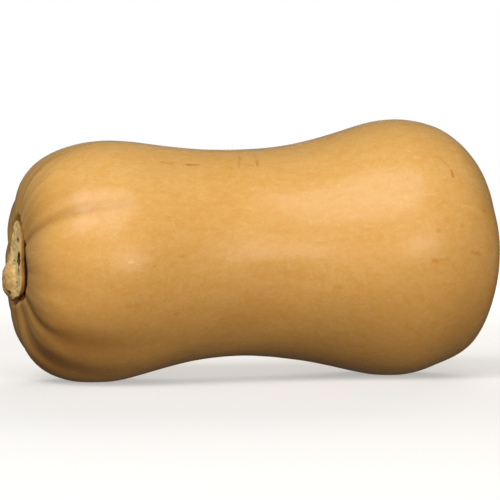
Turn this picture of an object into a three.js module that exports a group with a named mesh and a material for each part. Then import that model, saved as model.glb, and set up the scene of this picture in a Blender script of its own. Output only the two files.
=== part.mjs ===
// A butternut squash as picked, lying on its side: the tan fruit, and the corky stub that its stem left.
//
// Millimetres, +Z up. +X runs along the fruit from the stem end to the blossom end. The origin is on the
// surface that the fruit rests on, under the middle of its bounding box.
//
// The fruit is a skin of rings round a long axis. A cubic B-spline gives the outline, from the stem's hollow
// over the neck, the waist and the bulb to the blossom scar. Each ring is then furrowed, swollen a little
// here and there, and pressed flat where it meets the surface.

import * as THREE from "three";
import { ImprovedNoise } from "three/addons/math/ImprovedNoise.js";

// Driving dimensions
const LENGTH = 216.4; // from the shoulder of the stem end to the blossom end
const NECK_GIRTH = 54.5; // radius that the outline is drawn towards at the neck
const WAIST_GIRTH = 45;
const BULB_GIRTH = 60;
const DEPTH_SHARE = 0.985; // the fruit is this much shallower than it is tall
const STUB_RADIUS = 15; // the broken face of the stem stub, on average

// The axis: its height at the waist, its rise towards the thicker bulb, and its bends
const AXIS_HEIGHT = 54.65;
const AXIS_RISE = 0.0405; // per mm of length, so that neck and bulb both touch the surface
const RISE_FROM = 107; // where the rise crosses the axis height
const WAIST_LIFT = { height: 1.5, at: 90, reach: 30 };
const BLOSSOM_DROOP = { drop: 5, from: 191, to: 219 };
const MIDDLE = 106.1; // where the origin lies along the fruit

// The outline's control points: mm along the fruit, mm from the axis
const OUTLINE = [
  [0, 0],
  [0, 0.25 * NECK_GIRTH],
  [1.5, 0.58 * NECK_GIRTH],
  [7.5, 0.8 * NECK_GIRTH],
  [20, 0.945 * NECK_GIRTH],
  [41, NECK_GIRTH],
  [64, 0.9 * NECK_GIRTH],
  [89, WAIST_GIRTH],
  [117, WAIST_GIRTH + 1],
  [144, 0.86 * BULB_GIRTH],
  [169, BULB_GIRTH],
  [191, 0.943 * BULB_GIRTH],
  [206, 0.8 * BULB_GIRTH],
  [LENGTH - 2.5, 0.61 * BULB_GIRTH],
  [LENGTH, 0.14 * BULB_GIRTH],
  [LENGTH, 0],
];

// The furrows that run from the stem along the neck. The angle goes round the axis from +Y (0) over the top
// (90) to -Y (180); width is in degrees, depth and reach in mm.
const FURROWS = [
  { angle: -10, depth: 0.7, width: 7, reach: 45 },
  { angle: 22, depth: 2.0, width: 6, reach: 60 },
  { angle: 60, depth: 1.4, width: 7, reach: 55 },
  { angle: 98, depth: 0.8, width: 7, reach: 45 },
  { angle: 138, depth: 0.7, width: 6, reach: 45 },
  { angle: 151, depth: 1.8, width: 3, reach: 60 },
  { angle: 190, depth: 0.5, width: 8, reach: 60 },
  { angle: 222, depth: 2.4, width: 8, reach: 75 },
  { angle: 246, depth: 2.6, width: 8, reach: 65 },
  { angle: 284, depth: 2.2, width: 8, reach: 60 },
  { angle: 318, depth: 0.8, width: 7, reach: 60 },
];
const FURROW_CREASE = 0.45; // this share of a furrow's depth is its narrow crease, the rest its soft sides
const FURROW_SIDES = 2.6; // the soft sides are this many times as wide as the crease
const FURROW_START = { from: 8, to: 26 }; // mm from the axis, where the furrows begin
const BLOSSOM_FURROW = { share: 0.3, reach: 45 }; // their sides come back faintly round the blossom end

// The slow unevenness of a thing that grew: waves along the fruit (per mm) and round it (per turn)
const SWELLS = [
  { height: 0.22, along: 0.045, around: 2, start: 0.6 },
  { height: 0.16, along: 0.07, around: -3, start: 2.1 },
  { height: 0.1, along: 0.11, around: 5, start: 0 },
];
const SWELL_START = { from: 10, to: 40 }; // mm from the axis

// The stem stands in a well with a shallow funnel round it. The well's floor ends this far inside the stub's
// edge, and its rim lies just under the edge of the stub's face. Both are wider on one side of the fruit.
const WELL = { depth: 3.2, inside: 2, under: 0.4, wider: 5.6 };
const FUNNEL = { depth: 2.8, reach: 4, wider: 13 };
const HOLLOW_WIDEST = { angle: 180, reach: 26 };
// The blossom end's dimple, and the ring-shaped scar of the flower
const DIMPLE = { depth: 1.6, floor: 3, rim: 17 };
const SCAR = { height: 0.9, radius: 4.2, width: 1.5 };

// The mesh: rings along the outline, closer together at both ends, and steps between neighbouring furrows
const RINGS = 55;
const RING_EASE = 0.7;
const STEPS_PER_FURROW = 8;
const SPLINE_STEPS = 40;

// The stem stub, from root to broken face: [mm out from the hollow's floor, share of the stub's radius]
const STUB_GAP = 0.3; // clear of the hollow's floor
const STUB_SIDE = [
  [0, 0.7],
  [1.1, 0.74],
  [2, 0.83],
  [2.8, 0.92],
  [3.6, 0.98],
  [4.3, 1.0],
  [4.8, 1.01],
  [5, 0.97],
];
// Its edge swells and shrinks this many times round, by this share of the radius, first at this angle.
const STUB_WAVES = [
  { count: 1, share: 0.09, angle: 116 },
  { count: 2, share: 0.14, angle: 106 },
  { count: 3, share: 0.08, angle: 100 },
  { count: 4, share: 0.07, angle: 28 },
  { count: 5, share: 0.025, angle: 12 },
];
const STUB_LUMP = { height: 4, y: 7, z: -6, reach: 8 }; // torn wood left standing on the face
const STUB_PITS = [
  { depth: 2.6, y: -9.9, z: 3.5, wide: 2, tall: 2.7 },
  { depth: 0.9, y: -9.6, z: -2.4, wide: 1.5, tall: 2.2 },
  { depth: 1.2, y: -6.6, z: 11.5, wide: 1.3, tall: 1.3 },
  { depth: 1.2, y: 3.6, z: -11.3, wide: 1.2, tall: 1.2 },
];
const PIT_STEEPNESS = 0.8; // the bell of a pit reaches this share of its half width and height
const STUB_GRAIN = { height: 0.5, length: 3.5 }; // the face's crumbled relief
const STUB_AROUND = 80;
const STUB_FACE_RINGS = 16;

const TURN = 2 * Math.PI;
const radians = THREE.MathUtils.degToRad;
const { smoothstep, lerp } = THREE.MathUtils;
const grain = new ImprovedNoise();
const bell = (distance, reach) => Math.exp(-((distance / reach) ** 2));
const plateau = (distance, reach) => Math.exp(-((distance / reach) ** 4));

// The distance between two angles in degrees, from -180 to 180.
const turnBetween = (a, b) => THREE.MathUtils.euclideanModulo(a - b + 180, 360) - 180;

// A cubic B-spline through the plane, and its running length. Its first and last control points lie on the
// axis, and the ones next to them are mirrored across it, so the curve meets the axis square on.
function splineAlong(points) {
  const mirror = ([along, radius]) => [along, -radius];
  const ghosted = [mirror(points[1]), ...points, mirror(points[points.length - 2])];
  const curve = [];
  for (let i = 0; i + 3 < ghosted.length; i++) {
    for (let k = 0; k < SPLINE_STEPS; k++) {
      const t = k / SPLINE_STEPS;
      const before = 3 * t ** 3 - 6 * t ** 2 + 4;
      const after = -3 * t ** 3 + 3 * t ** 2 + 3 * t + 1;
      const weights = [(1 - t) ** 3, before, after, t ** 3];
      const at = (axis) => weights.reduce((sum, w, n) => sum + (w * ghosted[i + n][axis]) / 6, 0);
      curve.push(new THREE.Vector2(at(0), at(1)));
    }
  }
  curve.push(new THREE.Vector2(...points[points.length - 1]));
  const length = [0];
  for (let i = 1; i < curve.length; i++) length.push(length[i - 1] + curve[i].distanceTo(curve[i - 1]));
  return { curve, length };
}

// The outline at a share of its length: the point, and the direction out of the fruit there.
function outlineAt({ curve, length }, share) {
  const target = share * length[length.length - 1];
  const i = Math.max(1, length.findIndex((l) => l >= target));
  const part = (target - length[i - 1]) / (length[i] - length[i - 1]);
  const point = curve[i - 1].clone().lerp(curve[i], part);
  const way = curve[i].clone().sub(curve[i - 1]).normalize();
  return { along: point.x, radius: Math.max(0, point.y), outAlong: -way.y, outRadius: way.x };
}

// The height of the axis at a place along the fruit.
function axisHeight(along) {
  const rise = AXIS_RISE * (along - RISE_FROM);
  const lift = WAIST_LIFT.height * bell(along - WAIST_LIFT.at, WAIST_LIFT.reach);
  const droop = BLOSSOM_DROOP.drop * smoothstep(along, BLOSSOM_DROOP.from, BLOSSOM_DROOP.to);
  return AXIS_HEIGHT + rise + lift - droop;
}

// How deep the furrows are at a place on the skin.
function furrowDepth(along, radius, angle) {
  let total = 0;
  for (const furrow of FURROWS) {
    const away = turnBetween(angle, furrow.angle);
    const crease = FURROW_CREASE * bell(away, furrow.width);
    const sides = (1 - FURROW_CREASE) * bell(away, FURROW_SIDES * furrow.width);
    const nearStem = 1 - smoothstep(along, 0, furrow.reach);
    const nearBlossom = BLOSSOM_FURROW.share * smoothstep(along, LENGTH - BLOSSOM_FURROW.reach, LENGTH);
    total += furrow.depth * ((crease + sides) * nearStem + sides * nearBlossom);
  }
  return total * smoothstep(radius, FURROW_START.from, FURROW_START.to);
}

function swelling(along, radius, angle) {
  const wave = (s) => s.height * Math.sin(s.along * along + s.around * radians(angle) + s.start);
  const waves = SWELLS.reduce((sum, swell) => sum + wave(swell), 0);
  return waves * smoothstep(radius, SWELL_START.from, SWELL_START.to);
}

// The stub's radius round its edge: a tall lobe above, and two blunt corners below.
function stubRadius(angle) {
  const wave = ({ count, share, angle: first }) => share * Math.cos(radians(count * (angle - first)));
  return STUB_RADIUS * STUB_WAVES.reduce((sum, each) => sum + wave(each), 1);
}

// How far the ends are pushed in along the axis: the stem's hollow, and the blossom's dimple and scar.
function stemHollow(radius, angle) {
  const edge = stubRadius(angle);
  const wide = bell(turnBetween(angle, HOLLOW_WIDEST.angle), HOLLOW_WIDEST.reach);
  const well = 1 - smoothstep(radius, edge - WELL.inside, edge - WELL.under + WELL.wider * wide);
  const funnel = 1 - smoothstep(radius, edge, edge + FUNNEL.reach + FUNNEL.wider * wide);
  return WELL.depth * well + FUNNEL.depth * funnel;
}

function blossomDimple(radius) {
  const dimple = DIMPLE.depth * (1 - smoothstep(radius, DIMPLE.floor, DIMPLE.rim));
  return dimple - SCAR.height * bell(radius - SCAR.radius, SCAR.width);
}

// One point of the skin, from a place on the outline and an angle round the axis.
function skinPoint(place, angle) {
  const inward = furrowDepth(place.along, place.radius, angle) - swelling(place.along, place.radius, angle);
  const radius = place.radius - inward * place.outRadius;
  const isStemEnd = place.along < LENGTH / 2;
  const pushed = isStemEnd ? stemHollow(radius, angle) : -blossomDimple(radius);
  const along = place.along - inward * place.outAlong + pushed;
  const y = DEPTH_SHARE * radius * Math.cos(radians(angle));
  const z = axisHeight(place.along) + radius * Math.sin(radians(angle));
  return [along - MIDDLE, y, Math.max(0, z)];
}

// The angles of the skin's lengthwise lines: one lies in each furrow, with even steps between furrows.
function lineAngles() {
  const angles = [];
  FURROWS.forEach((furrow, i) => {
    const next = FURROWS[i + 1] ?? { angle: FURROWS[0].angle + 360 };
    for (let k = 0; k < STEPS_PER_FURROW; k++) {
      angles.push(lerp(furrow.angle, next.angle, k / STEPS_PER_FURROW));
    }
  });
  return angles;
}

// A closed skin over rings of points, with a single point at each end. Rings run towards +X, and each runs
// from +Y over +Z.
function closedSkin(firstPole, rings, lastPole) {
  const around = rings[0].length;
  const positions = [firstPole, ...rings.flat(), lastPole].flat();
  const last = 1 + rings.length * around;
  const at = (ring, step) => 1 + ring * around + (step % around);
  const faces = [];
  for (let j = 0; j < around; j++) {
    faces.push(0, at(0, j + 1), at(0, j));
    for (let i = 0; i + 1 < rings.length; i++) {
      faces.push(at(i, j), at(i, j + 1), at(i + 1, j + 1));
      faces.push(at(i, j), at(i + 1, j + 1), at(i + 1, j));
    }
    faces.push(at(rings.length - 1, j), at(rings.length - 1, j + 1), last);
  }
  const geometry = new THREE.BufferGeometry();
  geometry.setAttribute("position", new THREE.Float32BufferAttribute(positions, 3));
  geometry.setIndex(faces);
  geometry.computeVertexNormals();
  return geometry;
}

function fruitSkin() {
  const outline = splineAlong(OUTLINE);
  const angles = lineAngles();
  // Rings are closer together where the outline turns in at both ends.
  const eased = (t) => t - (RING_EASE * Math.sin(TURN * t)) / TURN;
  const rings = [];
  for (let i = 1; i < RINGS; i++) {
    const place = outlineAt(outline, eased(i / RINGS));
    rings.push(angles.map((angle) => skinPoint(place, angle)));
  }
  const pole = (share) => skinPoint({ ...outlineAt(outline, share), radius: 0 }, 0);
  return closedSkin(pole(0), rings, pole(1));
}

// How far the broken face stands out at a point of it, measured from the stub's axis.
function faceRelief(y, z) {
  let out = STUB_LUMP.height * plateau(Math.hypot(y - STUB_LUMP.y, z - STUB_LUMP.z), STUB_LUMP.reach);
  for (const pit of STUB_PITS) {
    const away = Math.hypot((y - pit.y) / pit.wide, (z - pit.z) / pit.tall);
    out -= pit.depth * bell(away, PIT_STEEPNESS);
  }
  return out + STUB_GRAIN.height * grain.noise(y / STUB_GRAIN.length, z / STUB_GRAIN.length, 0.5);
}

function stubSkin() {
  const floor = WELL.depth + FUNNEL.depth - STUB_GAP;
  const centreHeight = axisHeight(0);
  const point = (out, radius, angle, isFace) => {
    const y = radius * Math.cos(radians(angle));
    const z = radius * Math.sin(radians(angle));
    const along = floor - out - (isFace ? faceRelief(y, z) : 0);
    return [along - MIDDLE, y, centreHeight + z];
  };
  const ring = (out, share, isFace) =>
    Array.from({ length: STUB_AROUND }, (_, j) => {
      const angle = (360 * j) / STUB_AROUND;
      return point(out, share * stubRadius(angle), angle, isFace);
    });
  const [faceOut, faceShare] = STUB_SIDE[STUB_SIDE.length - 1];
  const rings = [];
  // From the middle of the face out to its edge, then down the side to the root.
  for (let i = 1; i <= STUB_FACE_RINGS; i++) {
    rings.push(ring(faceOut, (faceShare * i) / STUB_FACE_RINGS, true));
  }
  for (let i = STUB_SIDE.length - 2; i >= 0; i--) rings.push(ring(...STUB_SIDE[i], false));
  return closedSkin(point(faceOut, 0, 0, true), rings, point(0, 0, 0, false));
}

function piece(name, geometry, material) {
  const mesh = new THREE.Mesh(geometry, material);
  mesh.name = name;
  return mesh;
}

const skin = new THREE.MeshStandardMaterial({ color: "#d9a05a", roughness: 0.5, metalness: 0 });
const cork = new THREE.MeshStandardMaterial({ color: "#c3a873", roughness: 0.9, metalness: 0 });

const squash = new THREE.Group();
squash.add(piece("squash", fruitSkin(), skin), piece("stem_stub", stubSkin(), cork));

export default squash;
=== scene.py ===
# %% [markdown]
# # A butternut squash on a pale table
#
# This lesson dresses the solid model of a butternut squash, so that it looks like one that was just
# picked: a smooth waxy skin with faint streaks and a few old scratches, deep furrows at the stem end,
# and the dry corky stub that the stem left behind.
#
# The solids are loaded first. They stay the measure of everything, so each finer piece is made in the
# same place as they are.

# %% Load the solids
import math

import bpy
import numpy as np
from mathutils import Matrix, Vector, noise


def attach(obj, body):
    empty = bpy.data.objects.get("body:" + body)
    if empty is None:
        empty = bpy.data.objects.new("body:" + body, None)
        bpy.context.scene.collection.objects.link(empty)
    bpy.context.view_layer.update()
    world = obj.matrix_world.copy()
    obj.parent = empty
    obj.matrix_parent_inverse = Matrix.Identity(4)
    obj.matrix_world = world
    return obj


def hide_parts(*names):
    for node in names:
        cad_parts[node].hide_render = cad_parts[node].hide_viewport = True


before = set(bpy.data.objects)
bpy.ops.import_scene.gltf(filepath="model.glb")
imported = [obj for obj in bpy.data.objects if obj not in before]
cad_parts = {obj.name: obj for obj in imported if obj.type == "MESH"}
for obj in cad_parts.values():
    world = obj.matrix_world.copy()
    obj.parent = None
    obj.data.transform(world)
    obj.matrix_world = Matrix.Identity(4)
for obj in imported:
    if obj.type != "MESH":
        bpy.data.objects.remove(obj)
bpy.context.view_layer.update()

mm = 0.001
print("solids:", sorted(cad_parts))

# %% [markdown]
# ## The camera
#
# The squash is seen from the side and a little from its stem end, from barely above the table. A long
# lens a metre away keeps both ends nearly the same size. A short lens close by would do the same framing,
# but it would swell the near end, which the real view doesn't show.

# %% Place the camera
CAMERA_AZIMUTH = math.radians(-17)
CAMERA_ELEVATION = math.radians(1.4)
CAMERA_DISTANCE = 1.0
CAMERA_AIM = Vector((1.1 * mm, 0, 56.75 * mm))
CAMERA_LENS, CAMERA_SENSOR = 161.39, 36  # both in the camera's own millimetres


def direction(azimuth, elevation):
    """Where something stands that is seen in front (azimuth 0), to the right (90) or above."""
    level = math.cos(elevation)
    return Vector((math.sin(azimuth) * level, -math.cos(azimuth) * level, math.sin(elevation)))


def aim(thing, place, target):
    """Puts a camera or light in a place and turns it to look at the target."""
    thing.location = place
    thing.rotation_euler = (target - place).to_track_quat("-Z", "Y").to_euler()


lens = bpy.data.cameras.new("camera")
lens.lens = CAMERA_LENS
lens.sensor_width = CAMERA_SENSOR
lens.clip_start = 0.05
camera = bpy.data.objects.new("camera", lens)
bpy.context.scene.collection.objects.link(camera)
aim(camera, CAMERA_AIM + CAMERA_DISTANCE * direction(CAMERA_AZIMUTH, CAMERA_ELEVATION), CAMERA_AIM)
bpy.context.scene.camera = camera
bpy.context.scene.view_settings.view_transform = "Standard"
print("camera", [round(v, 3) for v in camera.location])

# %% [markdown]
# ## Light
#
# The light is that of a small studio. The waxy skin mirrors two soft boxes: a large one above makes the
# pale patches on the neck's and the bulb's upper side, and a small one near the camera makes the gloss at
# mid height. The light that shapes the body comes from wide boxes that aren't mirrored, because their
# reflections would crowd the skin: from the upper left, from the front, a warm one from low down that keeps
# the shade golden, and one from behind for the far side and the blossom end. One bare lamp would be
# simpler, but its hard highlights would make the skin look like lacquer.

# %% Hang the lights


def soft_box(name, azimuth, elevation, distance, width, height, power, tint=(1, 1, 1), mirrored=False):
    """A rectangle of light that looks at the fruit. Angles in degrees, sizes in metres, power in watts."""
    lamp = bpy.data.lights.new(name, "AREA")
    lamp.shape = "RECTANGLE"
    lamp.size = width
    lamp.size_y = height
    lamp.energy = power
    lamp.color = tint
    box = bpy.data.objects.new(name, lamp)
    box.visible_glossy = mirrored
    bpy.context.scene.collection.objects.link(box)
    aim(box, CAMERA_AIM + distance * direction(math.radians(azimuth), math.radians(elevation)), CAMERA_AIM)


soft_box("upper_box", -20, 52, distance=1.3, width=1.1, height=0.95, power=8.4, mirrored=True)
soft_box("near_box", 12, 1, distance=1.4, width=0.75, height=0.36, power=1.9, mirrored=True)
soft_box("left_box", -58, 45, distance=1.3, width=0.7, height=0.7, power=8.4)
soft_box("front_box", 10, 14, distance=1.4, width=0.8, height=0.4, power=4.0)
soft_box("low_box", -8, 4, distance=1.5, width=1.6, height=0.22, power=12.8, tint=(1, 0.72, 0.43))
soft_box("back_box", 155, 22, distance=1.5, width=1.2, height=0.6, power=24, tint=(1, 0.95, 0.88))

# %% [markdown]
# ## Small helpers for shader nodes
#
# Every finish below is built from shader nodes. They could be placed by hand in the shader editor, but a
# script can be read and repeated. A few helpers keep it short: they add a node and fill or link its inputs,
# mix two colours, start a material, and start a node group with named sockets or place it. A group is used
# for an effect that is needed more than once, and each use gives it its own values.

# %% Helpers for shader nodes


def add(tree, kind, inputs=None, **settings):
    """Adds a node. Each input is a plain value, or the output socket that it is linked to."""
    node = tree.nodes.new(kind)
    for name, value in settings.items():
        setattr(node, name, value)
    for key, value in (inputs or {}).items():
        if isinstance(value, bpy.types.NodeSocket):
            tree.links.new(value, node.inputs[key])
        else:
            node.inputs[key].default_value = value
    return node


def math_node(tree, operation, a, b=0.0, clamp=False):
    return add(tree, "ShaderNodeMath", {0: a, 1: b}, operation=operation, use_clamp=clamp).outputs[0]


def vector_node(tree, operation, a, b=(0, 0, 0)):
    return add(tree, "ShaderNodeVectorMath", {0: a, 1: b}, operation=operation).outputs[0]


def ramp(tree, value, low, high):
    """0 below low, 1 above high, and smooth between them. With low above high it runs the other way."""
    sockets = {"Value": value, "From Min": low, "From Max": high}
    return add(tree, "ShaderNodeMapRange", sockets, interpolation_type="SMOOTHSTEP").outputs[0]


def mix_colour(tree, mask, base, other):
    """The base colour, and the other one where the mask is 1. Each is three numbers or a socket."""
    node = add(tree, "ShaderNodeMix", {0: mask}, data_type="RGBA")
    for key, value in ((6, base), (7, other)):
        if isinstance(value, bpy.types.NodeSocket):
            tree.links.new(value, node.inputs[key])
        else:
            node.inputs[key].default_value = (*value, 1)
    return node.outputs[2]


def start_group(name, inputs, outputs):
    """A node group with named sockets: inputs are (name, type, first value), outputs (name, type)."""
    group = bpy.data.node_groups.new(name, "ShaderNodeTree")
    for title, kind, value in inputs:
        socket = group.interface.new_socket(title, in_out="INPUT", socket_type="NodeSocket" + kind)
        socket.default_value = value
    for title, kind in outputs:
        group.interface.new_socket(title, in_out="OUTPUT", socket_type="NodeSocket" + kind)
    return group, group.nodes.new("NodeGroupInput").outputs, group.nodes.new("NodeGroupOutput")


def use(tree, group, inputs, output):
    """Places a group in a material and returns one of its outputs."""
    return add(tree, "ShaderNodeGroup", inputs, node_tree=group).outputs[output]


def start_material(name):
    """A material with its Principled shader, whose own sockets hold what is the same all over."""
    material = bpy.data.materials.new(name)
    material.use_nodes = True
    tree = material.node_tree
    return material, tree, tree.nodes["Principled BSDF"]


def attribute(tree, name, output="Fac"):
    return add(tree, "ShaderNodeAttribute", attribute_name=name).outputs[output]


# %% [markdown]
# ## The table and the space round it
#
# The squash lies on a plain pale surface that runs on until it is lost in white. A flat sheet would
# show a horizon line behind the object, so the sheet is made as bright as the space round it further
# out. The space is white for the camera, but lights the object only weakly: light from all sides would
# wash out the dark underside that gives the fruit its weight.

# %% Lay the table
TABLE_RADIUS, TABLE_CORNERS = 30.0, 96
TABLE_NEAR, TABLE_FAR = 0.35, 1.6  # where the surface starts to turn white, and where it is
TABLE_GLOW = 0.4  # share of white that the surface keeps even close by
SPACE_LIGHT = 0.06  # how bright the space is for everything but the camera

bpy.ops.mesh.primitive_circle_add(vertices=TABLE_CORNERS, radius=TABLE_RADIUS, fill_type="NGON")
table = bpy.context.object
table.name = "table_surface"
table.visible_diffuse = False
table.visible_glossy = False

paper, tree, shader = start_material("pale_table")
spot = add(tree, "ShaderNodeTexCoord").outputs["Object"]
grain = add(tree, "ShaderNodeTexNoise", {"Vector": spot, "Scale": 900.0, "Detail": 3.0}).outputs[0]
tint = mix_colour(tree, grain, (0.80, 0.79, 0.77), (0.86, 0.855, 0.84))
tree.links.new(tint, shader.inputs["Base Color"])
shader.inputs["Roughness"].default_value = 0.8
shader.inputs["Specular IOR Level"].default_value = 0.2
away = add(tree, "ShaderNodeVectorMath", {0: spot}, operation="LENGTH").outputs["Value"]
glow = add(tree, "ShaderNodeEmission", {"Color": (1, 1, 1, 1), "Strength": 1.0})
far = ramp(tree, away, TABLE_NEAR, TABLE_FAR)
far.node.inputs["To Min"].default_value = TABLE_GLOW
both = add(tree, "ShaderNodeMixShader", {0: far, 1: shader.outputs[0], 2: glow.outputs[0]})
tree.links.new(both.outputs[0], tree.nodes["Material Output"].inputs["Surface"])
table.data.materials.append(paper)

world = bpy.data.worlds.new("white_space")
world.use_nodes = True
bpy.context.scene.world = world
sky = world.node_tree
seen = add(sky, "ShaderNodeLightPath").outputs["Is Camera Ray"]
strength = ramp(sky, seen, 0.0, 1.0)
strength.node.interpolation_type = "LINEAR"
strength.node.inputs["To Min"].default_value = SPACE_LIGHT
sky.links.new(strength, sky.nodes["Background"].inputs["Strength"])
sky.nodes["Background"].inputs["Color"].default_value = (1, 1, 1, 1)
print("table reaches", TABLE_RADIUS, "m")

# %% [markdown]
# ## The outline of the fruit
#
# A butternut squash is nearly round across, so half an outline turned about a long axis gives its body:
# the shoulder at the stem, the thick neck, a slight waist, the bulb, and the blunt blossom end. The
# outline could be traced with many points, but then every bump of the hand would show in the gloss. A
# cubic B-spline drawn towards sixteen points is smooth by itself.

# %% Draw the outline
LENGTH = 216.4 * mm
# Each girth is a distance from the axis.
NECK_GIRTH = 54.5 * mm
WAIST_GIRTH = 45 * mm
BULB_GIRTH, BULB_AT = 60 * mm, 169 * mm
OUTLINE = [  # distance along the axis and from it
    (0, 0),
    (0, 0.25 * NECK_GIRTH),
    (1.5 * mm, 0.58 * NECK_GIRTH),
    (7.5 * mm, 0.8 * NECK_GIRTH),
    (20 * mm, 0.945 * NECK_GIRTH),
    (41 * mm, NECK_GIRTH),
    (64 * mm, 0.9 * NECK_GIRTH),
    (89 * mm, WAIST_GIRTH),
    (117 * mm, WAIST_GIRTH + 1 * mm),
    (144 * mm, 0.86 * BULB_GIRTH),
    (BULB_AT, BULB_GIRTH),
    (191 * mm, 0.943 * BULB_GIRTH),
    (206 * mm, 0.8 * BULB_GIRTH),
    (LENGTH - 2.5 * mm, 0.61 * BULB_GIRTH),
    (LENGTH, 0.14 * BULB_GIRTH),
    (LENGTH, 0),
]
SPLINE_STEPS = 60


def spline(points, steps):
    """A cubic B-spline whose ends lie on the axis: the next points are mirrored across it."""
    points = np.array(points, dtype=float)
    mirror = np.array([1, -1])
    ghosted = np.vstack([points[1] * mirror, points, points[-2] * mirror])
    t = np.arange(steps)[:, None] / steps
    weights = [(1 - t) ** 3, 3 * t**3 - 6 * t**2 + 4, -3 * t**3 + 3 * t**2 + 3 * t + 1, t**3]
    spans = [
        sum(w * ghosted[i + n] for n, w in enumerate(weights)) / 6 for i in range(len(ghosted) - 3)
    ]
    return np.vstack([*spans, points[-1:]])


curve = spline(OUTLINE, SPLINE_STEPS)
steps = np.diff(curve, axis=0)
run = np.concatenate([[0], np.cumsum(np.hypot(*steps.T))])
way = np.gradient(curve, run, axis=0)
way /= np.hypot(*way.T)[:, None]
print(f"outline: {run[-1] / mm:.0f} mm long, widest {curve[:, 1].max() / mm:.1f} mm from the axis")

# %% [markdown]
# ## The axis
#
# Lying on its side, the fruit touches the table under the neck and under the bulb. The thinner neck
# makes it tip down towards the stem, so the axis isn't level, and the grown fruit isn't quite straight
# either. Tilting a straight finished mesh would need the resting height worked out afterwards; here the
# height of the axis is a formula, the same one that the solids follow.

# %% Bend the axis
AXIS_HEIGHT = 54.65 * mm
AXIS_RISE = 0.0405
RISE_FROM = 107 * mm
WAIST_LIFT, WAIST_LIFT_AT, WAIST_LIFT_REACH = 1.5 * mm, 90 * mm, 30 * mm
BLOSSOM_DROOP, DROOP_FROM, DROOP_TO = 5 * mm, 191 * mm, 219 * mm
MIDDLE = 106.1 * mm  # of the whole length, which comes to lie over the origin
DEPTH_SHARE = 0.985  # the fruit is slightly flattened from side to side


def bell(distance, reach):
    return np.exp(-((distance / reach) ** 2))


def plateau(distance, reach):
    return np.exp(-((distance / reach) ** 4))


def smoothstep(value, low, high):
    t = np.clip((value - low) / (high - low), 0, 1)
    return t * t * (3 - 2 * t)


def axis_height(along):
    rise = AXIS_RISE * (along - RISE_FROM)
    lift = WAIST_LIFT * bell(along - WAIST_LIFT_AT, WAIST_LIFT_REACH)
    return AXIS_HEIGHT + rise + lift - BLOSSOM_DROOP * smoothstep(along, DROOP_FROM, DROOP_TO)


for name, along in (("stem", 0), ("bulb", BULB_AT)):
    print(f"axis height at the {name}: {axis_height(along) / mm:.1f} mm")

# %% [markdown]
# ## Furrows and swellings
#
# The stem's ribs leave furrows in the shoulder of the fruit. They are deepest at the stem, fade along
# the neck and come back very faintly round the blossom. Each is a narrow crease between soft sides, so
# two bell curves round the fruit describe it. Sculpting them by hand would look as good, but couldn't be
# repeated or resized. Slow sine waves add the slight unevenness of everything that grew.

# %% Shape the furrows and swellings
FURROWS = [  # angle round the axis, depth in mm, width in degrees, reach along the fruit in mm
    (-10, 0.7, 7, 45),
    (22, 2.0, 6, 60),
    (60, 1.4, 7, 55),
    (98, 0.8, 7, 45),
    (138, 0.7, 6, 45),
    (151, 1.8, 3, 60),
    (190, 0.5, 8, 60),
    (222, 2.4, 8, 75),
    (246, 2.6, 8, 65),
    (284, 2.2, 8, 60),
    (318, 0.8, 7, 60),
]
FURROW_CREASE, FURROW_SIDES = 0.45, 2.6  # the crease's share of the depth, and how much wider the sides are
FURROW_FROM, FURROW_TO = 8 * mm, 26 * mm  # from the axis: they fade out in the hollow
BLOSSOM_FURROW, BLOSSOM_FURROW_REACH = 0.3, 45 * mm
SWELLS = [(0.22, 0.045, 2, 0.6), (0.16, 0.07, -3, 2.1), (0.1, 0.11, 5, 0)]
SWELL_FROM, SWELL_TO = 10 * mm, 40 * mm


def turn_between(a, b):
    return (a - b + 180) % 360 - 180


def furrow_depth(along, radius, turn):
    """The depth of the furrows, and the part of it that their narrow creases have."""
    total, creases = 0, 0
    for angle, depth, width, reach in FURROWS:
        away = turn_between(turn, angle)
        crease = FURROW_CREASE * bell(away, width)
        sides = (1 - FURROW_CREASE) * bell(away, FURROW_SIDES * width)
        near_stem = 1 - smoothstep(along, 0, reach * mm)
        near_blossom = BLOSSOM_FURROW * smoothstep(along, LENGTH - BLOSSOM_FURROW_REACH, LENGTH)
        total = total + depth * mm * ((crease + sides) * near_stem + sides * near_blossom)
        creases = creases + depth * mm * crease * near_stem
    started = smoothstep(radius, FURROW_FROM, FURROW_TO)
    return total * started, creases * started


def swelling(along, radius, turn):
    """Slow waves: height in mm, radians per mm of length, how many go round, and where they start."""
    waves = 0
    for height, per_mm, around, start in SWELLS:
        waves = waves + height * mm * np.sin(per_mm * along / mm + around * np.radians(turn) + start)
    return waves * smoothstep(radius, SWELL_FROM, SWELL_TO)


# %% [markdown]
# ## Both ends
#
# The stem stands in a narrow well with steep sides that follow the broken stub, in the middle of a wide
# shallow funnel. Both reach further out on one side, where the fruit pulled away from the drying stem. The
# other end has a shallow dimple with the ring-shaped scar of the flower. Cutting the well out with another
# body would leave a sharp rim. All of these only push the skin along the axis, so they are added as smooth
# steps after the furrows. The stub's edge is given here because the well needs it: a tall lobe above and
# two blunt corners below, made by adding a few waves to a circle.

# %% Hollow out the ends
STUB_RADIUS = 15 * mm
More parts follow.
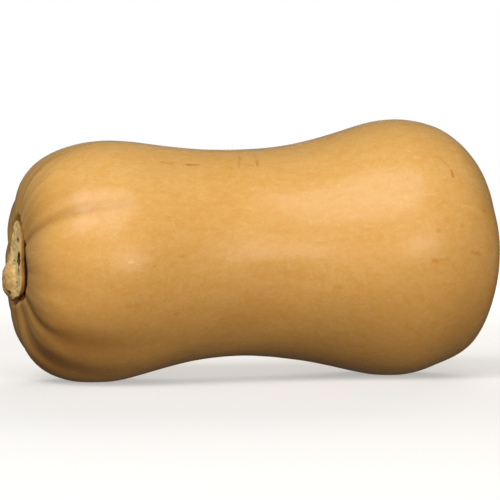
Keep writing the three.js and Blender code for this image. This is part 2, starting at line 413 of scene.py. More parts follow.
# How many times each wave goes round, its height as a share of the radius, and the angle of a crest.
STUB_WAVES = [(1, 0.09, 116), (2, 0.14, 106), (3, 0.08, 100), (4, 0.07, 28), (5, 0.025, 12)]
WELL_DEPTH, WELL_INSIDE, WELL_UNDER, WELL_WIDER = 3.2 * mm, 2 * mm, 0.4 * mm, 5.6 * mm
FUNNEL_DEPTH, FUNNEL_REACH, FUNNEL_WIDER = 2.8 * mm, 4 * mm, 13 * mm
HOLLOW_WIDEST_AT, HOLLOW_WIDEST_REACH = 180, 26  # degrees
DIMPLE_DEPTH, DIMPLE_FLOOR, DIMPLE_RIM = 1.6 * mm, 3 * mm, 17 * mm
SCAR_HEIGHT, SCAR_RADIUS, SCAR_WIDTH = 0.9 * mm, 4.2 * mm, 1.5 * mm


def stub_radius(turn):
    waves = sum(share * np.cos(np.radians(count * (turn - first))) for count, share, first in STUB_WAVES)
    return STUB_RADIUS * (1 + waves)


def stem_hollow(radius, turn):
    """How far the well and the funnel are sunk, as shares of their depths."""
    edge = stub_radius(turn)
    wide = bell(turn_between(turn, HOLLOW_WIDEST_AT), HOLLOW_WIDEST_REACH)
    well = 1 - smoothstep(radius, edge - WELL_INSIDE, edge - WELL_UNDER + WELL_WIDER * wide)
    funnel = 1 - smoothstep(radius, edge, edge + FUNNEL_REACH + FUNNEL_WIDER * wide)
    return well, funnel


def blossom_dimple(radius):
    dimple = DIMPLE_DEPTH * (1 - smoothstep(radius, DIMPLE_FLOOR, DIMPLE_RIM))
    return dimple - SCAR_HEIGHT * bell(radius - SCAR_RADIUS, SCAR_WIDTH)


# %% [markdown]
# ## Any point of the skin
#
# All of this comes together in one function: from a place on the outline and an angle round the axis to
# a point of the skin. It also tells what the skin is like there, such as how deep in a furrow, because the
# colours need that later. The same could be painted by hand on the finished mesh, but then it would have
# to be painted again after each change of shape.

# %% Find a point of the skin


def skin_points(share, turn):
    """The skin at shares of the outline's length and angles round the axis, and what it is like there."""
    at = share * run[-1]
    along, radius = (np.interp(at, run, curve[:, n]) for n in (0, 1))
    way_along, way_radius = (np.interp(at, run, way[:, n]) for n in (0, 1))
    furrow, crease = furrow_depth(along, radius, turn)
    inward = furrow - swelling(along, radius, turn)
    out = radius - inward * way_along
    well, funnel = (sunk * (along < LENGTH / 2) for sunk in stem_hollow(out, turn))
    dimple = blossom_dimple(out) * (along > LENGTH / 2)
    x = along + inward * way_radius + WELL_DEPTH * well + FUNNEL_DEPTH * funnel - dimple - MIDDLE
    y = DEPTH_SHARE * out * np.cos(np.radians(turn))
    z = axis_height(along) + out * np.sin(np.radians(turn))
    facts = {"along": along, "radius": out, "furrow": furrow, "crease": crease}
    facts.update(well=well, funnel=funnel)
    return np.stack([x, y, z], axis=-1), facts


top = skin_points(np.array([0.5]), np.array([90.0]))[0][0]
print("half way along, the top is at", [round(float(v) / mm, 1) for v in top], "mm")

# %% [markdown]
# ## Rings of points
#
# The solids use this shape with some 90 points round. The render needs smoother gloss, so the skin has
# four times as many, on rings that lie closer together at both ends, where the forms are small. A
# subdivision modifier could smooth the coarse mesh instead, but it would blunt the creases.

# %% Lay out the rings
AROUND = 360
RINGS = 270
RING_EASE = 0.7  # 0 spaces the rings evenly, and 1 crowds them at the ends

ring_shares = np.linspace(0, 1, RINGS + 1)[1:-1]
ring_shares = ring_shares - RING_EASE * np.sin(2 * math.pi * ring_shares) / (2 * math.pi)
turns = np.arange(AROUND) * 360 / AROUND
skin, facts = skin_points(ring_shares[:, None], turns[None, :])
along, radius = np.broadcast_arrays(facts["along"], facts["radius"])
grid_turns = np.broadcast_to(turns, along.shape)
print("rings:", len(ring_shares), "of", AROUND, "points")

# %% [markdown]
# ## Wrinkles and unevenness
#
# Nothing that grew is as smooth as a formula. Round the stem the skin has fine wrinkles that run along
# with the furrows, and all over it is uneven by a tenth of a millimetre, which makes the highlights waver.
# A bump map would catch the light in the same way, but it leaves the mesh itself too perfect, so the
# points are moved along their own outward directions.

# %% Wrinkle the skin
WRINKLE_HEIGHT, WRINKLE_SIZE, WRINKLE_REACH = 0.35 * mm, 3.5 * mm, 16 * mm
WRINKLE_FROM, WRINKLE_TO = 14 * mm, 24 * mm  # from the axis, where they start and are full
WRINKLE_GIRTH, WRINKLE_STRETCH = 30 * mm, 3  # the cylinder they are drawn on, and their length per width
UNEVEN = [(0.16 * mm, 22 * mm), (0.05 * mm, 7 * mm)]  # height and length of the slow and the fine bumps
UNEVEN_FROM, UNEVEN_TO = 18 * mm, 40 * mm


def noise_at(points, length, seed=0):
    """Smooth noise from -1 to 1 at each point, with bumps of about this length."""
    shift = Vector((17.3 * seed, 5.1 * seed, 9.7 * seed))
    flat = points.reshape(-1, 3) / length
    values = [noise.noise(Vector(p) + shift) for p in flat]
    return np.array(values).reshape(points.shape[:-1])


# Each point's outward direction comes from its neighbours in the grid.
lengthwise = np.gradient(skin, axis=0)
crosswise = np.roll(skin, -1, axis=1) - np.roll(skin, 1, axis=1)
outward = np.cross(crosswise, lengthwise)
outward /= np.linalg.norm(outward, axis=-1, keepdims=True)

angle = np.radians(grid_turns)
drawn = [along / WRINKLE_STRETCH, WRINKLE_GIRTH * np.cos(angle), WRINKLE_GIRTH * np.sin(angle)]
near_stem = bell(along, WRINKLE_REACH) * smoothstep(radius, WRINKLE_FROM, WRINKLE_TO)
bumps = WRINKLE_HEIGHT * near_stem * noise_at(np.stack(drawn, axis=-1), WRINKLE_SIZE, seed=1)
for n, (height, length) in enumerate(UNEVEN):
    bumps += height * smoothstep(radius, UNEVEN_FROM, UNEVEN_TO) * noise_at(skin, length, seed=2 + n)
skin = skin + bumps[..., None] * outward
skin[..., 2] = np.maximum(skin[..., 2], 0)
print(f"wrinkles and bumps: {bumps.min() / mm:.2f} to {bumps.max() / mm:.2f} mm")

# %% [markdown]
# ## From rings to a mesh
#
# Squares join each ring to the next, and triangles close the skin at its two poles. What the skin is like
# at each point goes into the mesh as named attributes, which the finish reads. Vertex colours could hold
# the same, but only as colours between 0 and 1.

# %% Helpers that make a mesh


def grid_faces(rings, around):
    """Quads of a skin of rings, and the triangles that close it at its two poles."""
    last = 1 + rings * around
    faces = []
    for j in range(around):
        k = (j + 1) % around
        faces.append((0, 1 + k, 1 + j))
        for i in range(rings - 1):
            a, b = 1 + i * around, 1 + (i + 1) * around
            faces.append((a + j, a + k, b + k, b + j))
        end = 1 + (rings - 1) * around
        faces.append((end + j, end + k, last))
    return faces


def make_piece(name, points, faces, marks):
    """A smooth mesh object with a value per point for each mark that its material reads."""
    mesh = bpy.data.meshes.new(name)
    mesh.from_pydata(points.tolist(), [], faces)
    for title, values in marks.items():
        kind = "FLOAT_VECTOR" if values.ndim == 2 else "FLOAT"
        mark = mesh.attributes.new(title, kind, "POINT")
        mark.data.foreach_set("vector" if values.ndim == 2 else "value", values.astype(np.float32).ravel())
    mesh.polygons.foreach_set("use_smooth", [True] * len(mesh.polygons))
    piece = bpy.data.objects.new(name, mesh)
    bpy.context.scene.collection.objects.link(piece)
    return piece


def with_poles(values, first, last):
    """The values of all rings in one row, between those of the two poles."""
    return np.concatenate([[first], np.asarray(values, dtype=float).ravel(), [last]])


def pole(share):
    """Where the skin crosses the axis at one of its ends."""
    point = skin_points(np.array([share]), np.array([0.0]))[0][0]
    return [point[0], 0, point[2]]


# %% [markdown]
# ## The skin
#
# The fruit's skin is one closed mesh. Its lengthwise coordinates lie on a plain cylinder, as if the fruit
# were unrolled to an even thickness, so that streaks painted in them run from end to end and follow every
# bend. A UV map does that too, but it has a seam, and it pinches at the poles.

# %% Build the skin
GROWN_RADIUS = 50 * mm  # of the cylinder that the lengthwise coordinates lie on
DEEPEST_FURROW, DEEPEST_CREASE = 2.4 * mm, 1 * mm
STEM_END, BLOSSOM_END = 40 * mm, 14 * mm  # how far each end's own colour reaches
SCAR_INNER, SCAR_OUTER = 4 * mm, 7 * mm

points = np.vstack([[pole(0)], skin.reshape(-1, 3), [pole(1)]])
cylinder = np.stack([along, GROWN_RADIUS * np.cos(angle), GROWN_RADIUS * np.sin(angle)], axis=-1)
scarred_share = (1 - smoothstep(radius, SCAR_INNER, SCAR_OUTER)) * (along > LENGTH / 2)
marks = {
    "lengthwise": np.vstack([[0, 0, 0], cylinder.reshape(-1, 3), [LENGTH, 0, 0]]),
    "furrow": with_poles(facts["furrow"] / DEEPEST_FURROW, 0, 0),
    "crease": with_poles(facts["crease"] / DEEPEST_CREASE, 0, 0),
    "well": with_poles(facts["well"], 1, 0),
    "funnel": with_poles(facts["funnel"], 1, 0),
    "stem_end": with_poles(1 - smoothstep(along, 0, STEM_END), 1, 0),
    "blossom_end": with_poles(smoothstep(along, LENGTH - BLOSSOM_END, LENGTH), 0, 1),
    "scar": with_poles(scarred_share, 0, 1),
}
fruit = make_piece("fruit_skin", points, grid_faces(RINGS - 1, AROUND), marks)
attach(fruit, "root")
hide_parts("squash")
print("skin:", len(fruit.data.vertices), "points; size in mm", [round(v / mm, 1) for v in fruit.dimensions])

# %% [markdown]
# ## The stub's broken face
#
# When the fruit was cut, the stem broke off and dried to a crumbly cork. Its face is rough, with a tall
# lobe, a clump of torn wood at the lower corner and a few dark holes. Rocks and bread crumbs are often made
# from noise alone. Here the big forms come first, because they are what makes this stub look like itself:
# the solid's lobes and clump, its four pits with steeper walls and a millimetre or so nearer the middle,
# and two faint pits more.

# %% Describe the broken face
CLUMP_HEIGHT, CLUMP_Y, CLUMP_Z, CLUMP_REACH = 4 * mm, 7 * mm, -6 * mm, 8 * mm
PITS = [  # depth, y, z, half width and half height, in mm from the middle of the face
    (3.0, -8.3, 3.5, 2.8, 2.7),
    (0.9, -8.6, -2.4, 1.6, 2.2),
    (1.3, -5.6, 11.5, 1.1, 1.1),
    (1.3, 2.2, -11.3, 0.9, 0.9),
    (0.6, 0.5, 2.0, 1.6, 1.1),
    (0.6, -5.0, -7.0, 1.2, 0.8),
]
PIT_FLOOR, PIT_LIP = 0.5, 1.02  # where a pit's wall starts and ends, in shares of its half size
# The pits are painted dark as shade. It fades out between these shares of their half sizes, and is full in
# the deepest pits.
PIT_SHADE_FROM, PIT_SHADE_TO = 1.05, 1.35  # where the dark colour of a pit fades out
DARK_DEPTH = 1.5  # a pit of this depth in mm is fully dark


def face_relief(y, z):
    """How far the face stands out, how dark its pits are painted as shade, and how much of the clump."""
    clump = plateau(np.hypot(y - CLUMP_Y, z - CLUMP_Z), CLUMP_REACH)
    out, pitted = CLUMP_HEIGHT * clump, 0 * clump
    for depth, pit_y, pit_z, wide, tall in PITS:
        away = np.hypot((y / mm - pit_y) / wide, (z / mm - pit_z) / tall)
        out = out - depth * mm * (1 - smoothstep(away, PIT_FLOOR, PIT_LIP))
        pit_shade = min(1, depth / DARK_DEPTH) * (1 - smoothstep(away, PIT_SHADE_FROM, PIT_SHADE_TO))
        pitted = np.maximum(pitted, pit_shade)
    return out, pitted, clump


print("pits:", len(PITS), "deepest", max(pit[0] for pit in PITS), "mm")

# %% [markdown]
# ## The stub's side
#
# The side is undercut: the stub is widest just below its broken edge and narrower where it meets the
# fruit. The edge is a little ragged. Pushing a plain cylinder about would make an undercut fold over
# itself. Here a profile gives the undercut, and noise round the edge makes it ragged. The rows of points
# run from the middle of the face outward, over the edge, and down the side.

# %% Lay out the stub's rows
STUB_HEIGHT = 5 * mm
STUB_SIDE = [  # height over the root in mm, and share of the edge's radius
    (0, 0.72), (1.1, 0.74), (2, 0.83), (2.8, 0.92), (3.6, 0.98), (4.3, 1), (4.8, 1.01), (5, 0.97),
]
STUB_AROUND = 220
STUB_FACE_RINGS, STUB_SIDE_RINGS = 60, 28
RAGGED_SHARE, RAGGED_SIZE = 0.035, 4 * mm
FACE_FADE = 2.5  # rows of the side over which the face's relief dies away

stub_turns = np.arange(STUB_AROUND) * 360 / STUB_AROUND
circle = np.stack([np.cos(np.radians(stub_turns)), np.sin(np.radians(stub_turns))], axis=-1)
round_edge = np.stack([circle[:, 0], circle[:, 1], 0 * stub_turns], axis=-1) * STUB_RADIUS
edge = stub_radius(stub_turns) * (1 + RAGGED_SHARE * noise_at(round_edge, RAGGED_SIZE, seed=8))

side_out, side_share = (np.array(column) for column in zip(*STUB_SIDE))
side_steps = np.linspace(side_out[-1], side_out[0], STUB_SIDE_RINGS)[1:]
face_steps = side_share[-1] * np.linspace(0, 1, STUB_FACE_RINGS + 1)[1:]
out_rows = np.concatenate([np.full(STUB_FACE_RINGS, side_out[-1]), side_steps]) * mm
share_rows = np.concatenate([face_steps, np.interp(side_steps, side_out, side_share)])
fading = np.exp(-np.arange(1, STUB_SIDE_RINGS) / FACE_FADE)
face_part = np.concatenate([np.ones(STUB_FACE_RINGS), fading])
print(f"stub's edge: {edge.min() / mm:.1f} to {edge.max() / mm:.1f} mm from its middle")

# %% [markdown]
# ## The stem stub
#
# Now the rows become points, with the face's relief on top and layers of finer and finer noise that
# crumble it. The root is sunk a little into the fruit, so that no light shows under it. Sculpting with a
# rough brush would give such crumbs as well, but not the same ones at each run.

# %% Build the stem stub
STUB_ROOT = 0.5 * mm  # how far the root is sunk into the fruit
CRUMBS = [(0.42, 3.2), (0.24, 1.5), (0.12, 0.7)]  # height and length in mm of the crumbled relief
SIDE_CRUMBLE = 0.6  # share of the crumbs' height that the side has

stub_y = share_rows[:, None] * edge * circle[:, 0]
stub_z = share_rows[:, None] * edge * circle[:, 1]
relief, pitted, clump = face_relief(stub_y, stub_z)
stub_floor = WELL_DEPTH + FUNNEL_DEPTH + STUB_ROOT - MIDDLE
stub_out = out_rows[:, None] * (1 + STUB_ROOT / STUB_HEIGHT) + relief * face_part[:, None]
stub = np.stack([stub_floor - stub_out, stub_y, stub_z + axis_height(0)], axis=-1)
middle_out = STUB_HEIGHT + STUB_ROOT + face_relief(0.0, 0.0)[0]
face_pole = [stub_floor - middle_out, 0, axis_height(0)]
root_pole = [stub_floor, 0, axis_height(0)]

crumbled = sum(height * noise_at(stub, length * mm, seed=4 + n) for n, (height, length) in enumerate(CRUMBS))
on_face = face_part[:, None] * np.ones(STUB_AROUND)
stub[..., 0] -= mm * crumbled * on_face
outward = np.stack([0 * circle[:, 0], circle[:, 0], circle[:, 1]], axis=-1)
stub += (mm * SIDE_CRUMBLE * crumbled * (1 - on_face))[..., None] * outward

stub_points = np.vstack([[face_pole], stub.reshape(-1, 3), [root_pole]])
is_face = (np.arange(len(face_part)) < STUB_FACE_RINGS)[:, None] * np.ones(STUB_AROUND)
stub_marks = {
    "face": with_poles(is_face, 1, 0),
    "pit": with_poles(pitted * is_face, 0, 0),
    "clump": with_poles(clump * is_face, 0, 0),
    "out": with_poles(np.broadcast_to(out_rows[:, None] / STUB_HEIGHT, stub_y.shape), 1, 0),
}
stub_faces = grid_faces(STUB_FACE_RINGS + STUB_SIDE_RINGS - 1, STUB_AROUND)
stem = make_piece("stem_cork", stub_points, stub_faces, stub_marks)
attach(stem, "root")
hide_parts("stem_stub")
print("stub:", len(stem.data.vertices), "points; size in mm", [round(v / mm, 1) for v in stem.dimensions])

# %% [markdown]
# ## Cloudy patches
#
# The skin and the cork both have soft patches of another colour. Painted by hand they would need an image
# and a seam. Here they are smooth noise with its contrast raised, so that the patches have edges and plain
# colour between them. As a node group, the effect is built once, and each finish gives it its own place,
# size and strength.

# %% Make the clouds
clouds, given, result = start_group(
    "clouds",
    [("Place", "Vector", (0, 0, 0)), ("Scale", "Float", 50.0), ("Detail", "Float", 3.0),
     ("Low", "Float", 0.4), ("High", "Float", 0.6)],
    [("Mask", "Float")],
)
sockets = {"Vector": given["Place"], "Scale": given["Scale"], "Detail": given["Detail"]}
cloudy = add(clouds, "ShaderNodeTexNoise", sockets).outputs[0]
clouds.links.new(ramp(clouds, cloudy, given["Low"], given["High"]), result.inputs["Mask"])
print("clouds:", len(clouds.nodes), "nodes")

# %% [markdown]
# ## Scattered flecks
#
# Both also have small flecks. Noise alone gives blots that run together, so these are the cells of a
# Voronoi texture, one dot to a cell. Only some cells are kept, and the dots differ in size, so that they
# lie scattered and not in a grid.

# %% Make the flecks
flecks, given, result = start_group(
    "flecks",
    [("Place", "Vector", (0, 0, 0)), ("Scale", "Float", 500.0), ("Size", "Float", 0.3),
     ("Share", "Float", 0.3)],
    [("Mask", "Float")],
)
cells = add(flecks, "ShaderNodeTexVoronoi", {"Vector": given["Place"], "Scale": given["Scale"]})
chance = add(flecks, "ShaderNodeSeparateColor", {"Color": cells.outputs["Color"]}).outputs
kept = math_node(flecks, "LESS_THAN", chance[0], given["Share"])
size = math_node(flecks, "MULTIPLY", given["Size"], chance[1])
dot = ramp(flecks, cells.outputs["Distance"], size, 0.0)
flecks.links.new(math_node(flecks, "MULTIPLY", dot, kept), result.inputs["Mask"])
print("flecks:", len(flecks.nodes), "nodes")

# %% [markdown]
# ## A single scar
#
# A scar is everything near a short straight line: the nearest point of the line is found, and the distance
# to it fades the mark out. It could be a thin mesh laid on the skin instead, but that would stand out at
# every edge. As a group it is used once for each scratch and spot.

# %% Make a scar
SCAR_CORE, SCAR_FADED = 0.15, 0.75  # distance from the line, in widths

scar, given, result = start_group(
    "scar",
    [("Place", "Vector", (0, 0, 0)), ("Middle", "Vector", (0, 0, 0)), ("Half", "Vector", (0, 0, 0)),
     ("Width", "Float", 0.001)],
    [("Mask", "Float")],
)
offset = vector_node(scar, "SUBTRACT", given["Place"], given["Middle"])
dots = [
    add(scar, "ShaderNodeVectorMath", {0: a, 1: given["Half"]}, operation="DOT_PRODUCT").outputs["Value"]
    for a in (offset, given["Half"])
]
step = math_node(scar, "DIVIDE", dots[0], math_node(scar, "MAXIMUM", dots[1], 1e-12))
step = math_node(scar, "MINIMUM", math_node(scar, "MAXIMUM", step, -1.0), 1.0)
nearest = add(scar, "ShaderNodeVectorMath", {0: given["Half"], "Scale": step}, operation="SCALE").outputs[0]
gap = vector_node(scar, "SUBTRACT", offset, nearest)
gap = add(scar, "ShaderNodeVectorMath", {0: gap}, operation="LENGTH").outputs["Value"]
inner = math_node(scar, "MULTIPLY", given["Width"], SCAR_CORE)
outer = math_node(scar, "MULTIPLY", given["Width"], SCAR_FADED)
scar.links.new(ramp(scar, gap, outer, inner), result.inputs["Mask"])
print("shared effects:", [g.name for g in bpy.data.node_groups])

# %% [markdown]
# ## The skin's scars
#
# Leaves and neighbours have scratched the skin while it grew, and it healed with thin brown lines, darker
# orange spots and a few pale ones. Scattered at random they would look like a pattern, so each is given
# where it was seen: how far along the fruit, at which angle round it, how long, how wide, and which way it
# runs. They lie in the skin's lengthwise coordinates, and the finish bends these slightly with noise, so
# that no line is ruler-straight.

# %% Place the scars
SCRATCHES = [  # along in mm, angle, length and width in mm, way (0 runs lengthwise, 90 round), strength
    (62.0, 123.5, 5.2, 1.0, 0, 0.5),
    (73.2, 123.8, 6.6, 1.0, -4, 0.7),
    (72.0, 124.0, 2.4, 1.4, 0, 0.9),
    (95.6, 118.6, 14.5, 1.1, 104, 0.4),
    (96.8, 115.6, 1.6, 1.5, 90, 0.5),
    (104.2, 114.5, 9.0, 1.0, 98, 0.3),
    (103.4, 120.5, 5.5, 1.2, 98, 0.6),
    (178.7, 136.1, 3.0, 1.0, 4, 0.25),
    (183.1, 139.2, 4.6, 1.0, 50, 0.35),
    (185.1, 145.3, 3.0, 1.2, 92, 0.7),
    (7.0, 214.6, 1.6, 0.6, 60, 0.5),
    (9.6, 216.6, 2.2, 0.6, 30, 0.5),
]
SPOTS = [
    (132.4, 196.5, 1.6, 2.2, 0, 0.5),
    (172.9, 184.2, 2.2, 1.4, 10, 0.8),
    (177.4, 183.9, 4.4, 1.1, 0, 0.5),
    (193.4, 182.2, 3.6, 2.0, 12, 0.6),
    (200.0, 160.5, 0.6, 1.5, 0, 0.9),
    (174.7, 171.5, 0.8, 1.5, 0, 0.7),
    (186.7, 169.8, 0.8, 1.4, 0, 0.6),
    (179.0, 167.2, 1.4, 2.4, 0, 0.25),
    (165.7, 148.2, 2.4, 2.4, 20, 0.3),
    (99.5, 123.0, 1.6, 1.8, 0, 0.5),
    (90.6, 126.0, 1.6, 1.8, 90, 0.3),
    (24.7, 151.8, 1.6, 1.8, 0, 0.5),
    (88.3, 133.2, 1.0, 1.6, 0, 0.4),
    (46.4, 180.5, 1.0, 1.9, 0, 0.4),
    (50.2, 181.0, 1.0, 1.5, 0, 0.4),
    (63.0, 177.5, 1.0, 2.1, 0, 0.4),
    (39.4, 198.8, 2.0, 1.8, 0, 0.4),
    (42.9, 198.8, 1.4, 1.8, 0, 0.4),
    (61.6, 206.2, 1.4, 2.0, 0, 0.4),
]
PALE_MARKS = [
    (168.0, 131.5, 2.0, 1.1, 40, 0.5),
    (145.3, 167.1, 3.4, 1.0, 0, 0.3),
    (172.2, 155.3, 4.6, 0.9, 0, 0.3),
    (190.0, 161.0, 6.0, 1.2, 5, 0.35),
    (98.2, 141.0, 0.8, 1.2, 0, 0.4),
    (39.4, 178.5, 1.6, 1.0, 0, 0.9),
    (113.8, 172.5, 6.8, 0.8, 50, 0.22),
    (34.7, 239.2, 0.6, 0.9, 0, 0.6),
    (22.1, 249.8, 1.0, 0.9, 0, 0.6),
]


def on_cylinder(along, turn):
    return Vector((along, GROWN_RADIUS * math.cos(turn), GROWN_RADIUS * math.sin(turn)))


def scarred(tree, place, scars):
    """The strongest of several scars at a place in the lengthwise coordinates."""
    total = 0.0
    for along, turn, length, width, way, strength in scars:
        turn, way = math.radians(turn), math.radians(way)
        middle = on_cylinder(along * mm, turn)
        half = Vector((math.cos(way), -math.sin(way) * math.sin(turn), math.sin(way) * math.cos(turn)))
        given = {"Place": place, "Middle": middle, "Half": half * length * mm / 2, "Width": width * mm}
        mask = math_node(tree, "MULTIPLY", use(tree, scar, given, "Mask"), strength)
        total = math_node(tree, "MAXIMUM", total, mask)
    return total


print("scars:", len(SCRATCHES), "scratches,", len(SPOTS), "spots,", len(PALE_MARKS), "pale marks")

# %% [markdown]
# ## The skin's mottled colour
#
# The ripe skin is golden tan, mottled with small orange patches, with paler and deeper streaks along it. A
# photograph wrapped round the fruit would show one side only and stretch at the ends. Noise in the skin's
# own lengthwise coordinates runs true everywhere and meets at the stem, as the real streaks do. The more a
# coordinate is squeezed along the fruit, the longer its streaks get.

# %% Mottle the skin
TAN = (0.608, 0.360, 0.112)
CREAM = (0.640, 0.410, 0.155)
ORANGE = (0.575, 0.308, 0.066)
BROWN = (0.270, 0.110, 0.020)
MOTTLES = [  # squeeze along the fruit (None: not at all), scale, detail, low, high, then weight and colour
    (0.16, 75.0, 3.0, 0.35, 0.70, 0.60, CREAM),
    (0.5, 42.0, 3.0, 0.42, 0.68, 0.40, ORANGE),
    (0.7, 300.0, 3.0, 0.42, 0.64, 0.55, ORANGE),
    (0.7, 520.0, 2.0, 0.44, 0.66, 0.50, CREAM),
    (0.06, 420.0, 2.0, 0.50, 0.72, 0.22, ORANGE),
    (None, 1100.0, 2.0, 0.42, 0.60, 0.45, ORANGE),
    (None, 2000.0, 1.0, 0.40, 0.60, 0.10, BROWN),
]
PALE_FLECKS = {"Scale": 380.0, "Size": 0.45, "Share": 0.35}

skin_finish, tree, shader = start_material("squash_skin")
spot = add(tree, "ShaderNodeTexCoord").outputs["Object"]
grown = attribute(tree, "lengthwise", "Vector")
squeezed = {share: vector_node(tree, "MULTIPLY", grown, (share, 1, 1)) for share in (0.06, 0.16, 0.5, 0.7)}


def layer(colour, mask, weight, other):
    """Lays another colour over the finish where the mask is, this strongly."""
    return mix_colour(tree, math_node(tree, "MULTIPLY", mask, weight, clamp=True), colour, other)


def patches(squeeze, scale, detail, low, high):
    sockets = {"Place": squeezed.get(squeeze, spot), "Scale": scale, "Detail": detail}
    return use(tree, clouds, {**sockets, "Low": low, "High": high}, "Mask")


colour = TAN
for *pattern, weight, paint in MOTTLES:
    colour = layer(colour, patches(*pattern), weight, paint)
colour = layer(colour, use(tree, flecks, {"Place": spot, **PALE_FLECKS}, "Mask"), 0.45, CREAM)
print("mottles:", len(MOTTLES), "layers and pale flecks")

# %% [markdown]
# ## The skin's deeper colours and marks
#
# Both ends are more orange. The furrows, their narrow creases and the shallow funnel round the stub are
# darkened by their depth, which is painted shade, and the well round the stub is painted nearly black as
# dust and painted shade. These places are the attributes that the mesh carries, so they stay true to the
# shape. The scars are laid on in the same way, each sort with a colour of its own.

# %% Colour the furrows, scars and well
# The first colour here is nearly black: dust and painted shade in the well round the stub and at the foot of
# the stub's side.
DUST_AND_SHADE = (0.090, 0.042, 0.012)
SPOT_BROWN = (0.46, 0.175, 0.012)
SCRATCH_BROWN = (0.28, 0.12, 0.020)
HEALED = (0.72, 0.50, 0.23)
BLOSSOM_BROWN = (0.30, 0.17, 0.07)
SCAR_BEND, SCAR_BEND_SCALE = 1.4 * mm, 400.0
# The well is painted with dust and shade between these depths.
WELL_SHADE_FROM, WELL_SHADE_TO = 0.15, 0.8  # how deep in the well, as a share

bent = add(tree, "ShaderNodeTexNoise", {"Vector": grown, "Scale": SCAR_BEND_SCALE, "Detail": 2.0})
bent = vector_node(tree, "SUBTRACT", bent.outputs["Color"], (0.5, 0.5, 0.5))
bent = add(tree, "ShaderNodeVectorMath", {0: bent, "Scale": SCAR_BEND}, operation="SCALE").outputs[0]
bent = vector_node(tree, "ADD", grown, bent)

colour = layer(colour, attribute(tree, "stem_end"), 0.12, ORANGE)
colour = layer(colour, attribute(tree, "blossom_end"), 0.30, ORANGE)
# Painted shade: darker brown by the depth of the furrows, and more so in their narrow creases.
colour = layer(colour, attribute(tree, "furrow"), 0.22, BROWN)
colour = layer(colour, attribute(tree, "crease"), 0.40, BROWN)
colour = layer(colour, scarred(tree, bent, SPOTS), 0.70, SPOT_BROWN)
colour = layer(colour, scarred(tree, bent, SCRATCHES), 0.80, SCRATCH_BROWN)
colour = layer(colour, scarred(tree, bent, PALE_MARKS), 0.80, HEALED)
# Painted shade in the shallow funnel round the stub, strongest next to it.
colour = layer(colour, attribute(tree, "funnel"), 0.22, BROWN)
# Dust and painted shade: the well round the stub is painted nearly black, more so deeper in.
colour = layer(colour, ramp(tree, attribute(tree, "well"), WELL_SHADE_FROM, WELL_SHADE_TO), 0.95, DUST_AND_SHADE)
colour = layer(colour, attribute(tree, "scar"), 0.85, BLOSSOM_BROWN)
tree.links.new(colour, shader.inputs["Base Color"])
print("skin's colour:", len(tree.nodes), "nodes")

# %% [markdown]
# ## The skin's wax
#
# A thin wax gives the skin a satin gloss. It is rubbed here and there, so the roughness varies in patches,
# and in the dusty well it is nearly gone. A clear coat over the skin could stand for the wax, but the wax
# is too thin to mirror anything of its own, and one roughness that varies looks the same. Shallow dents
# and fine pores break the highlights up. They are a few hundredths of a millimetre deep, too small for the
# mesh, so a bump node gives them.

# %% Wax the skin
WAX_ROUGHNESS, RUBBED_ROUGHNESS, DUSTY_ROUGHNESS = 0.22, 0.08, 0.4
DENT_DEPTH, DENT_SCALE = 0.06, 300.0  # depths in mm
PORE_DEPTH, PORE_SCALE = 0.012, 1400.0

rubbed = math_node(tree, "MULTIPLY", patches(0.5, 120.0, 3.0, 0.35, 0.65), RUBBED_ROUGHNESS)
dusty = math_node(tree, "MULTIPLY", attribute(tree, "well"), DUSTY_ROUGHNESS)
gloss = math_node(tree, "ADD", rubbed, WAX_ROUGHNESS)
gloss = math_node(tree, "ADD", gloss, dusty, clamp=True)
tree.links.new(gloss, shader.inputs["Roughness"])
shader.inputs["IOR"].default_value = 1.5

noisy = {"Vector": squeezed[0.5], "Scale": DENT_SCALE, "Detail": 2.0}
dents = math_node(tree, "MULTIPLY", add(tree, "ShaderNodeTexNoise", noisy).outputs[0], DENT_DEPTH)
noisy = {"Vector": spot, "Scale": PORE_SCALE, "Detail": 2.0}
pores = math_node(tree, "MULTIPLY", add(tree, "ShaderNodeTexNoise", noisy).outputs[0], PORE_DEPTH)
height = math_node(tree, "ADD", dents, pores)
bump = add(tree, "ShaderNodeBump", {"Height": height, "Distance": 1 * mm, "Strength": 1.0})
tree.links.new(bump.outputs[0], shader.inputs["Normal"])
fruit.data.materials.append(skin_finish)
print("finish:", skin_finish.name, "with", len(tree.nodes), "nodes")
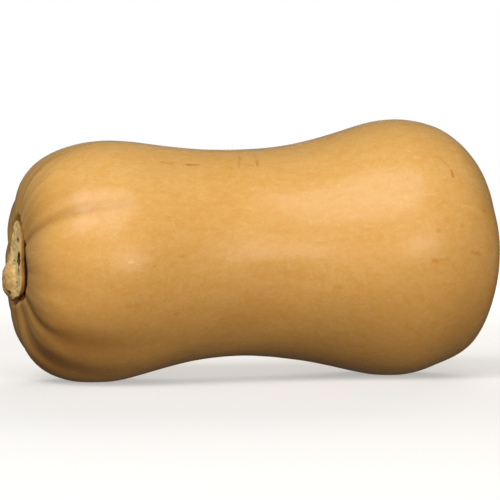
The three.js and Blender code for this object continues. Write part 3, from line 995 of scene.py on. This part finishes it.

# %% [markdown]
# ## The cork's finish
#
# Dry cork is straw-coloured on the broken face, with tiny orange and grey grains, and browner on the torn
# clump. Its holes are painted nearly black, which is painted shade. Round the side, the bark is orange-brown
# above, and below it is painted nearly black as dust and painted shade in the crevice. Two materials could
# share the work, but the face and the bark meet along a ragged edge, so one material that reads the mesh's
# attributes follows it better. The cork is matt, and a fine bump crumbles it further than the mesh does.

# %% Finish the cork
STRAW = (0.900, 0.680, 0.310)
TORN = (0.400, 0.210, 0.050)
GRAIN_ORANGE = (0.780, 0.380, 0.120)
GRAIN_GREY = (0.360, 0.240, 0.110)
BARK = (0.470, 0.250, 0.065)
# Painted shade inside the stub's pits.
HOLE_SHADE = (0.050, 0.022, 0.006)

GRAINS = {"Scale": 800.0, "Size": 0.9, "Share": 0.40}
GREY_GRAINS = {"Scale": 900.0, "Detail": 3.0, "Low": 0.52, "High": 0.68}
TANNED = {"Scale": 260.0, "Detail": 3.0, "Low": 0.45, "High": 0.65}
TORN_FROM, TORN_TO = 0.05, 0.5  # how far onto the clump
# The stub's side turns from bark to painted dust and shade between these shares, nearly black near the root.
BARK_ABOVE, DUST_AND_SHADE_BELOW = 0.80, 0.62  # shares of the stub's height

cork_finish, tree, shader = start_material("stem_cork")
spot = add(tree, "ShaderNodeTexCoord").outputs["Object"]
warm = use(tree, flecks, {"Place": spot, **GRAINS}, "Mask")
grey = use(tree, clouds, {"Place": spot, **GREY_GRAINS}, "Mask")
tanned = use(tree, clouds, {"Place": spot, **TANNED}, "Mask")
colour = layer(STRAW, tanned, 0.25, BARK)
colour = layer(colour, ramp(tree, attribute(tree, "clump"), TORN_FROM, TORN_TO), 0.55, TORN)
colour = layer(colour, grey, 0.35, GRAIN_GREY)
colour = layer(colour, warm, 0.75, GRAIN_ORANGE)
# Painted shade: the pits are nearly black from their rims in.
colour = layer(colour, attribute(tree, "pit"), 0.95, HOLE_SHADE)
# Dust and painted shade at the foot of the stub's side, in the crevice round it.
bark = mix_colour(tree, ramp(tree, attribute(tree, "out"), BARK_ABOVE, DUST_AND_SHADE_BELOW), BARK, DUST_AND_SHADE)
colour = mix_colour(tree, attribute(tree, "face"), bark, colour)
tree.links.new(colour, shader.inputs["Base Color"])
shader.inputs["Roughness"].default_value = 0.9
shader.inputs["Specular IOR Level"].default_value = 0.25
crumble = add(tree, "ShaderNodeTexNoise", {"Vector": spot, "Scale": 1500.0, "Detail": 3.0}).outputs[0]
bump = add(tree, "ShaderNodeBump", {"Height": crumble, "Distance": 0.25 * mm, "Strength": 0.8})
tree.links.new(bump.outputs[0], shader.inputs["Normal"])
stem.data.materials.append(cork_finish)
print("finish:", cork_finish.name, "with", len(tree.nodes), "nodes")
